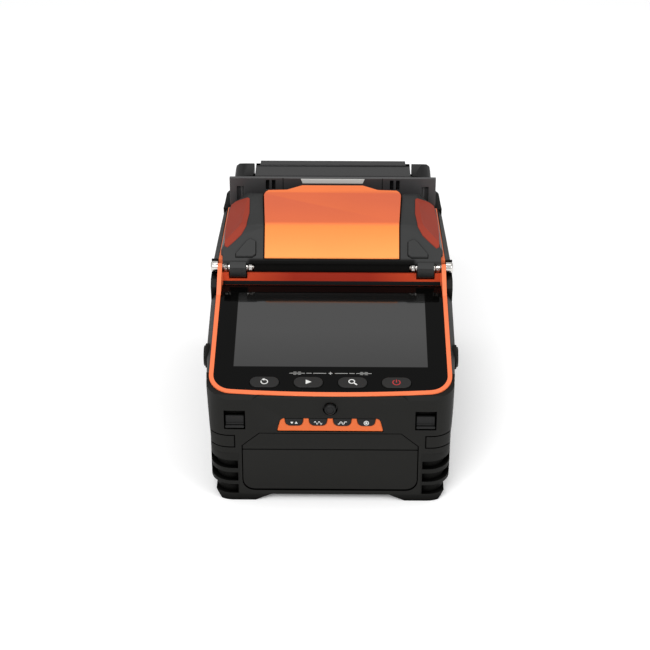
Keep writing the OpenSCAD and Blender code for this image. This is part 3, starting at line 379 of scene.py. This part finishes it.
# Edge radius in mm and the number of steps round it.
WIDTHS = {
    "lower_housing": (0.8, 2), "upper_housing": (0.9, 2), "trim_frame": (1.0, 3),
    "front_left_bumper": (1.0, 2), "front_right_bumper": (1.0, 2),
    "rear_left_bumper": (1.0, 2), "rear_right_bumper": (1.0, 2),
    "strap_lugs": (0.5, 2), "rear_bridge": (0.7, 2), "lamp_lens": (0.3, 2), "control_strip": (0.5, 2),
    "unit_button": (0.45, 2), "wavelength_button": (0.45, 2),
    "source_button": (0.45, 2), "laser_button": (0.45, 2),
    "battery_case": (1.2, 3), "left_latch": (0.6, 2), "right_latch": (0.6, 2), "cover_shell": (0.7, 2),
    "cover_plate": (0.9, 3), "cover_inserts": (0.4, 2), "heater_lid": (0.9, 3), "left_heater_clamp": (1.6, 4),
    "right_heater_clamp": (1.6, 4), "heater_base": (0.7, 2), "port_door": (0.5, 2), "cover_glass": (0.15, 1),
    "reset_button": (0.45, 2), "play_button": (0.45, 2), "zoom_button": (0.45, 2), "power_button": (0.45, 2),
}
LOOKS = {"heater_pin": "pin", "port_adapter": "adapter", "rear_bridge": "bar", "control_strip": "strip",
         "left_heater_clamp": "clamp", "right_heater_clamp": "clamp"}
for name in NODES:
    width, steps = WIDTHS.get(name, (0.2, 1))
    refine(name, width, steps, look=LOOKS.get(name))

# ---------------------------------------------------------------- pieces built in mesh code


class Solid:
    """Collects closed shells and turns them into one mesh that rides on a body."""

    def __init__(self, name):
        self.name, self.bm = name, bmesh.new()

    def prism(self, outline, put, w0, w1):
        """A flat outline raised between two levels; put maps (u, v, w) in mm to the row frame."""
        low = [self.bm.verts.new(put(u, v, w0)) for u, v in outline]
        high = [self.bm.verts.new(put(u, v, w1)) for u, v in outline]
        n = len(outline)
        self.bm.faces.new(low[::-1])
        self.bm.faces.new(high)
        for i in range(n):
            self.bm.faces.new((low[i], low[(i + 1) % n], high[(i + 1) % n], high[i]))

    def lathe(self, profile, put, steps=40, wobble=None):
        """Turns (axial, radius) pairs round an axis; both ends close on the axis or on themselves."""
        rings = []
        for a, r in profile:
            if r < 1e-6:
                rings.append([self.bm.verts.new(put(a, 0.0, 0.0))])
            else:
                rings.append([self.bm.verts.new(put(a, r * math.cos(t), r * math.sin(t)))
                              for t in (2 * math.pi * i / steps for i in range(steps))])
        for p, q in zip(rings, rings[1:]):
            for i in range(steps):
                j = (i + 1) % steps
                quad = [p[i % len(p)], p[j % len(p)], q[j % len(q)], q[i % len(q)]]
                unique = []
                for v in quad:
                    if v not in unique:
                        unique.append(v)
                if len(unique) > 2:
                    self.bm.faces.new(unique)

    def tube(self, path, radius, steps=10):
        """A round wire along a path of points in mm, capped at both ends."""
        rings = []
        for i, p in enumerate(path):
            p = Vector(p)
            d = (Vector(path[min(i + 1, len(path) - 1)]) - Vector(path[max(i - 1, 0)])).normalized()
            side = d.cross(Vector((0.0, 0.31, 0.95))).normalized()
            over = d.cross(side)
            rings.append([self.bm.verts.new((p + (side * math.cos(t) + over * math.sin(t)) * radius) * MM)
                          for t in (2 * math.pi * k / steps for k in range(steps))])
        for p, q in zip(rings, rings[1:]):
            for i in range(steps):
                j = (i + 1) % steps
                self.bm.faces.new((p[i], p[j], q[j], q[i]))
        self.bm.faces.new(rings[0][::-1])
        self.bm.faces.new(rings[-1])

    def build(self, body, look, slot=None, smooth=35.0):
        bmesh.ops.remove_doubles(self.bm, verts=self.bm.verts, dist=1e-8)
        bmesh.ops.recalc_face_normals(self.bm, faces=self.bm.faces)
        me = bpy.data.meshes.new(self.name)
        self.bm.to_mesh(me)
        self.bm.free()
        o = bpy.data.objects.new(self.name, me)
        bpy.context.scene.collection.objects.link(o)
        me.materials.append(MAT[look])
        if smooth:
            me.shade_smooth()
            me.set_sharp_from_angle(angle=math.radians(smooth))
        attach(o, body)
        return o


def deck(x, v, w):
    """A point of the sloping screen deck: x, v up the slope, w out of the glass."""
    return Vector((x, FRONT_Y + v * math.cos(TILT) - w * math.sin(TILT),
                   FRONT_H + v * math.sin(TILT) + w * math.cos(TILT))) * MM


def arc_points(cx, cy, r, a0, a1, steps):
    return [(cx + r * math.cos(math.radians(a0 + (a1 - a0) * i / steps)),
             cy + r * math.sin(math.radians(a0 + (a1 - a0) * i / steps))) for i in range(steps + 1)]


def ring_sector(cx, cy, r, width, a0, a1, steps=28):
    return arc_points(cx, cy, r + width / 2, a0, a1, steps) + arc_points(cx, cy, r - width / 2, a1, a0, steps)


def stroke(p, q, width):
    """A bar with round ends from p to q."""
    a = math.degrees(math.atan2(q[1] - p[1], q[0] - p[0]))
    far = arc_points(q[0], q[1], width / 2, a - 90, a + 90, 8)
    return far + arc_points(p[0], p[1], width / 2, a + 90, a + 270, 8)


# Deck keys: their row up the slope, their top above the glass line, and the printed layer on them.
KEY_V, KEY_TOP = 11.6, 0.1


def on_key(x):
    return lambda u, v, w: deck(x + u, KEY_V + v, KEY_TOP + w)


INK = (-0.05, 0.05)
icon = Solid("reset_mark")
icon.prism(ring_sector(0, 0, 1.8, 0.56, -205, 92), on_key(-36.4), *INK)
icon.prism([(0.0, 2.75), (0.0, 0.85), (-1.65, 1.8)], on_key(-36.4), *INK)
icon.build("reset_key", "white_print", "key_grey", 0)

icon = Solid("play_mark")
icon.prism([(-1.4, -1.8), (1.75, 0.0), (-1.4, 1.8)], on_key(-12.2), *INK)
icon.build("play_key", "white_print", "key_grey", 0)

icon = Solid("zoom_mark")
icon.prism(ring_sector(-0.45, 0.5, 1.55, 0.6, 0, 359.0, 36), on_key(12.2), *INK)
icon.prism(stroke((0.95, -0.85), (2.2, -2.05), 0.85), on_key(12.2), *INK)
icon.build("zoom_key", "white_print", "key_grey", 0)

icon = Solid("power_mark")
icon.prism(ring_sector(0, -0.1, 2.0, 0.5, 122, 418, 36), on_key(36.4), *INK)
icon.prism(stroke((0, 0.1), (0, 2.0), 0.5), on_key(36.4), *INK)
icon.build("power_key", "red_print", "key_grey", 0)

# A splice drawn as a line of print: two fibres meeting at a spark between small arrow heads.
motif = Solid("screen_motif")
MOTIF_V, GLASS_TOP = 19.5, -0.6
GLASS_INK = (-0.04, 0.04)


def on_glass(u, v, w):
    return deck(u, MOTIF_V + v, GLASS_TOP + w)


for s in (-1, 1):
    for x0, x1 in ((2.6, 9.4), (10.6, 13.2), (14.4, 22.6)):
        motif.prism(stroke((s * x0, 0), (s * x1, 0), 0.42), on_glass, *GLASS_INK)
    for x0 in (16.5, 19.0):
        motif.prism(stroke((s * x0, 0.95), (s * (x0 + 1.5), 0.95), 0.34), on_glass, *GLASS_INK)
        motif.prism(stroke((s * x0, -0.95), (s * (x0 + 1.5), -0.95), 0.34), on_glass, *GLASS_INK)
spark = [(0, 1.35), (-0.42, 0.42), (-1.35, 0), (-0.42, -0.42),
         (0, -1.35), (0.42, -0.42), (1.35, 0), (0.42, 0.42)]
motif.prism(spark, on_glass, *GLASS_INK)
motif.build("casing", "grey_print", "screen_glass", 0)


def on_front(x, z):
    return lambda u, v, w: Vector((x + u, FRONT_Y - 0.2 - w, z + v)) * MM


METER_Z = 52.0
METER_INK = (-0.04, 0.05)
UNIT_X, WAVE_X, SOURCE_X, LASER_X = -19.9, -6.65, 6.65, 19.9
marks = Solid("unit_mark")
for s in (-1, 1):
    marks.prism([(s * 1.2 - 0.85, -0.55 * s), (s * 1.2 + 0.85, -0.55 * s), (s * 1.2, 0.75 * s)],
                on_front(UNIT_X, METER_Z), *METER_INK)
marks.build("unit_key", "white_print", "black_plastic", 0)

marks = Solid("wavelength_mark")
wave = [(-2.2 + 4.4 * i / 30, 0.85 * math.sin(2 * math.pi * i / 15)) for i in range(31)]
band = [(x, y + 0.24) for x, y in wave] + [(x, y - 0.24) for x, y in wave[::-1]]
marks.prism(band, on_front(WAVE_X, METER_Z), *METER_INK)
marks.build("wavelength_key", "white_print", "black_plastic", 0)

marks = Solid("source_mark")
pulse = [(-2.3, -0.7), (-1.3, -0.7), (-1.3, 0.7), (-0.1, 0.7),
         (-0.1, -0.7), (1.1, -0.7), (1.1, 0.7), (2.3, 0.7)]
for p, q in zip(pulse, pulse[1:]):
    marks.prism(stroke(p, q, 0.38), on_front(SOURCE_X, METER_Z), *METER_INK)
marks.build("source_key", "white_print", "black_plastic", 0)

marks = Solid("laser_mark")
marks.prism(ring_sector(0, 0, 1.25, 0.36, 0, 359.0, 32), on_front(LASER_X, METER_Z), *METER_INK)
for k in range(4):
    a = math.radians(45 * k)
    c, d = 0.62 * math.cos(a), 0.62 * math.sin(a)
    low, high = (w + 0.002 * k for w in METER_INK)
    marks.prism(stroke((-c, -d), (c, d), 0.26), on_front(LASER_X, METER_Z), low, high)
marks.build("laser_key", "white_print", "black_plastic", 0)

# Cap of the optical port: dished face with a raised rim and two moulded pips.
cap = Solid("port_cap_face")
PORT_Z, PIP_Z = 61.0, 62.2


def port_axis(a, c, d):
    return Vector((c, FRONT_Y + a, PORT_Z + d)) * MM


cap.lathe([(6.0, 0), (6.0, 1.18), (1.6, 1.18), (1.6, 3.3), (-0.7, 3.3), (-1.3, 3.05), (-1.75, 2.55),
           (-1.78, 2.2), (-1.35, 1.95), (-1.3, 0)], port_axis, 48)
for s in (-1, 1):
    cap.lathe([(-1.2, 0), (-1.2, 0.34), (-1.58, 0.30), (-1.66, 0.14), (-1.68, 0)],
              lambda a, c, d, s=s: Vector((s * 1.0 + c, FRONT_Y + a, PIP_Z + d)) * MM, 16)
cap = cap.build("port_cap_body", "black", "black_plastic")
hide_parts("port_cap")

# Black gasket between the screen glass and the cross band.
gasket = Solid("screen_gasket")
gasket.prism([(4.35, 85.4), (4.88, 85.4), (4.88, 87.7), (4.55, 87.7), (4.35, 87.2)],
             lambda u, v, w: Vector((w, u, v)) * MM, -63.6, 63.6)
gasket.build("casing", "foam", "screen_glass", 0)

# Hinge bolts with domed heads, hexagon nuts, washers and rolled threads; one set on each side.
bolts = Solid("hinge_hardware")


def hinge_axis(s):
    return lambda a, c, d: Vector((s * a, HINGE_Y + c, HINGE_Z + d)) * MM


def hexagon(r, turn=0.0):
    turns = [math.radians(60 * i + turn) for i in range(6)]
    return [(r * math.cos(t), r * math.sin(t)) for t in turns]


NUT_IN, NUT_OUT, NUT_R = 46.5, 48.7, 3.05

for s in (-1, 1):
    ax = hinge_axis(s)
    shank = [(45.2, 0), (45.2, 1.5), (45.6, 2.0)]
    for i in range(3):
        shank += [(45.7 + i * 0.32, 1.98), (45.86 + i * 0.32, 1.72)]
    shank += [(46.9, 1.98), (60.2, 1.98)]
    for i in range(18):
        shank += [(60.3 + i * 0.34, 1.98), (60.47 + i * 0.34, 1.76)]
    shank += [(66.55, 1.98), (66.6, 3.05), (66.75, 3.2), (69.6, 3.2), (70.3, 2.95), (70.75, 2.5),
              (70.75, 1.75), (69.6, 1.70), (69.5, 0)]
    bolts.lathe(shank, ax, 36)
    bolts.prism(hexagon(NUT_R, 12), lambda u, v, w, ax=ax: ax(w, u, v), NUT_IN + 0.25, NUT_OUT - 0.25)
    bolts.lathe([(NUT_IN, 2.0), (NUT_IN, 2.45), (NUT_IN + 0.45, 2.72), (NUT_OUT - 0.45, 2.72),
                 (NUT_OUT, 2.45), (NUT_OUT, 2.0), (NUT_IN, 2.0)], ax, 36)
    for x0, x1, r in ((59.6, 60.4, 3.3), (49.2, 49.9, 3.0)):
        bolts.lathe([(x0, 2.0), (x0, r - 0.1), (x0 + 0.1, r), (x1 - 0.1, r), (x1, r - 0.1), (x1, 2.0),
                     (x0, 2.0)], ax, 40)
bolts = bolts.build("casing", "steel", "steel")
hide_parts("hinge_bolts")

# Torsion springs: wound wire with one leg down into the casing.
coils = Solid("torsion_springs")
for s in (-1, 1):
    path = [(s * 62.9, HINGE_Y + 2.75, HINGE_Z - 8.0 + i * 1.6) for i in range(5)]
    for i in range(97):
        t = math.radians(360 * 3.25 * i / 96)
        path.append((s * (62.9 - 2.0 * i / 96), HINGE_Y + 2.75 * math.cos(t), HINGE_Z + 2.75 * math.sin(t)))
    coils.tube(path, 0.42, 10)
coils = coils.build("casing", "steel", "steel")
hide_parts("hinge_springs")

# ---------------------------------------------------------------- floor, light and camera

floor_mat, _, _, fb = new_material("floor")
fb.inputs["Base Color"].default_value = (0.97, 0.97, 0.97, 1)
fb.inputs["Emission Color"].default_value = (1, 1, 1, 1)
fb.inputs["Emission Strength"].default_value = 0.12
fb.inputs["Roughness"].default_value = 0.9
fb.inputs["Specular IOR Level"].default_value = 0.1
me = bpy.data.meshes.new("floor")
me.from_pydata([(-4, -4, 0), (4, -4, 0), (4, 4, 0), (-4, 4, 0)], [], [(0, 1, 2, 3)])
floor = bpy.data.objects.new("floor", me)
bpy.context.scene.collection.objects.link(floor)
me.materials.append(floor_mat)
floor.location.z = -0.0002

world = bpy.data.worlds.new("studio")
bpy.context.scene.world = world
world.use_nodes = True
world.node_tree.nodes["Background"].inputs["Color"].default_value = (1, 1, 1, 1)
world.node_tree.nodes["Background"].inputs["Strength"].default_value = 0.62


def area(name, loc, target, size, power, color=(1, 1, 1)):
    ld = bpy.data.lights.new(name, "AREA")
    ld.shape = "RECTANGLE"
    ld.size, ld.size_y = size
    ld.energy = power
    ld.color = color
    o = bpy.data.objects.new(name, ld)
    bpy.context.scene.collection.objects.link(o)
    o.location = loc
    o.rotation_euler = (Vector(target) - Vector(loc)).to_track_quat("-Z", "Y").to_euler()
    return o


area("key", (-0.45, -1.15, 1.15), (0, 0, 0.06), (0.9, 0.6), 13)
area("fill", (0.95, -0.75, 0.70), (0, 0, 0.06), (0.6, 0.8), 5)
area("top", (0.0, 0.12, 1.5), (0, 0, 0.08), (1.2, 0.5), 4)

ELEV, YAW = math.radians(30.0), math.radians(-0.65)
look = Vector((math.sin(YAW) * math.cos(ELEV), math.cos(YAW) * math.cos(ELEV), -math.sin(ELEV)))
cam_data = bpy.data.cameras.new("camera")
cam_data.sensor_width = 36.0
cam_data.lens = 103.45
cam_data.clip_start = 0.01
cam = bpy.data.objects.new("camera", cam_data)
bpy.context.scene.collection.objects.link(cam)
cam.location = (0.00696, -0.95591, 0.61276)
cam.rotation_euler = look.to_track_quat("-Z", "Y").to_euler()
bpy.context.scene.camera = cam
bpy.context.scene.view_settings.view_transform = "Standard"
